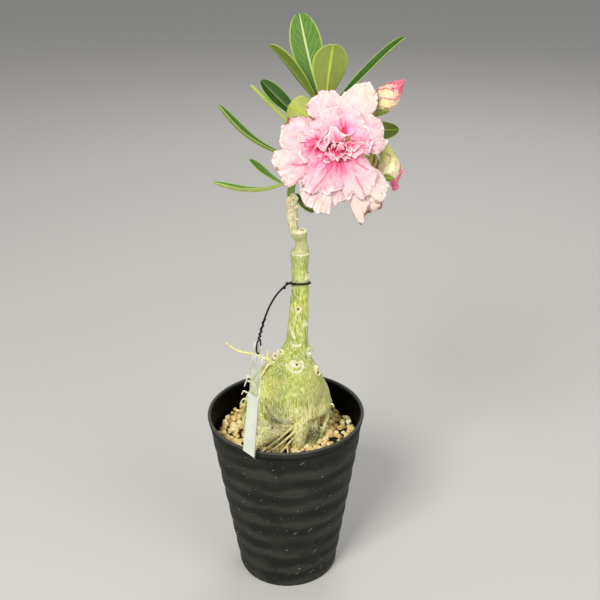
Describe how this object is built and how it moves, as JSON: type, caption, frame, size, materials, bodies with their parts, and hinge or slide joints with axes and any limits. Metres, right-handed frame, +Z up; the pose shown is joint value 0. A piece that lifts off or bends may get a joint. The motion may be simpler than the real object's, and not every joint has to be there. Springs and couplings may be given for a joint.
{
  "type": "potted desert rose",
  "caption": "Grafted desert rose with a swollen base, a slim stem, a leafy shoot and a ruffled double bloom with buds, in a ribbed round pot of gravel, with a blank wired tag.",
  "frame": {"origin": "middle of the pot's foot, on the surface that the pot stands on", "axes": "+Z up along the pot's axis; -Y towards the side that the bloom faces, which the picture shows; +X to the right in that view, where the buds are"},
  "size_m": [0.1423, 0.1232, 0.4322],
  "materials": {
    "pot": "matte black, lightly scuffed",
    "gravel": "rough cream and tan grains",
    "trunk": "living green bark, waxy, with pale streaks",
    "leafy_shoot": "glossy green leaves on a green shoot",
    "flower_stalks": "soft green stalks and sepals",
    "bloom": "soft pink petals with pale ruffled edges",
    "bud": "furled cream petals tinged pink",
    "tie_wire": "black coating, semi-gloss",
    "tag_film": "clear film",
    "tag_slip": "blank, smooth white"
  },
  "bodies": {
    "root": {"pot": "pot", "gravel": "gravel", "trunk": "trunk", "leafy_shoot": "leafy_shoot", "flower_stalks": "flower_stalks", "bloom": "bloom", "bud_upper": "bud", "bud_front": "bud", "bud_rear": "bud", "tie_wire": "tie_wire", "tag_film": "tag_film", "tag_slip": "tag_slip"}
  },
  "joints": []
}
